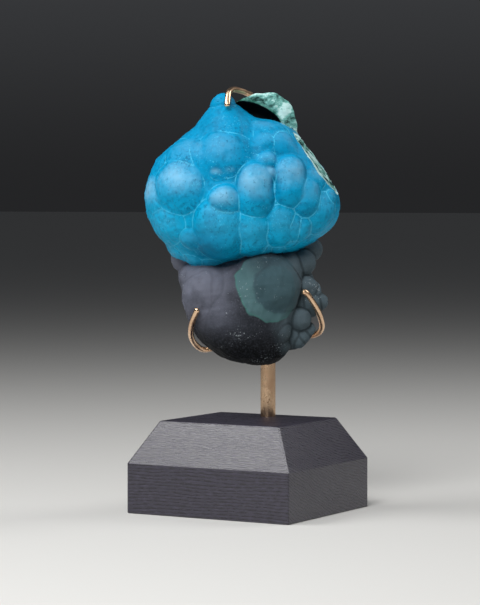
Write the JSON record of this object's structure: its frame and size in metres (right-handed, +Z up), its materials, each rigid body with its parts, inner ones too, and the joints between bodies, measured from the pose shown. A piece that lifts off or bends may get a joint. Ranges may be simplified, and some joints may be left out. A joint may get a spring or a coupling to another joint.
{
  "type": "botryoidal malachite with chrysocolla on a display stand",
  "caption": "Botryoidal malachite mass capped by blue chrysocolla, held upright by bent brass wires and a post on a black bevelled wood base",
  "frame": {"origin": "middle of the base's underside", "axes": "+Z up through the stand, +X along the base's long side, -Y to the base's long front face; the specimen's face is turned 30 degrees from it towards +X"},
  "size_m": [0.0779, 0.0698, 0.1763],
  "materials": {
    "malachite_chrysocolla": "satin blue lumps over dark grey-green malachite with a banded broken edge",
    "black_wood": "black stained, satin, open grain",
    "brass": "satin drawn rod and wire"
  },
  "bodies": {
    "root": {"specimen": "malachite_chrysocolla", "base": "black_wood", "post": "brass", "top_claw": "brass", "left_claw": "brass", "right_claw": "brass"}
  },
  "joints": []
}
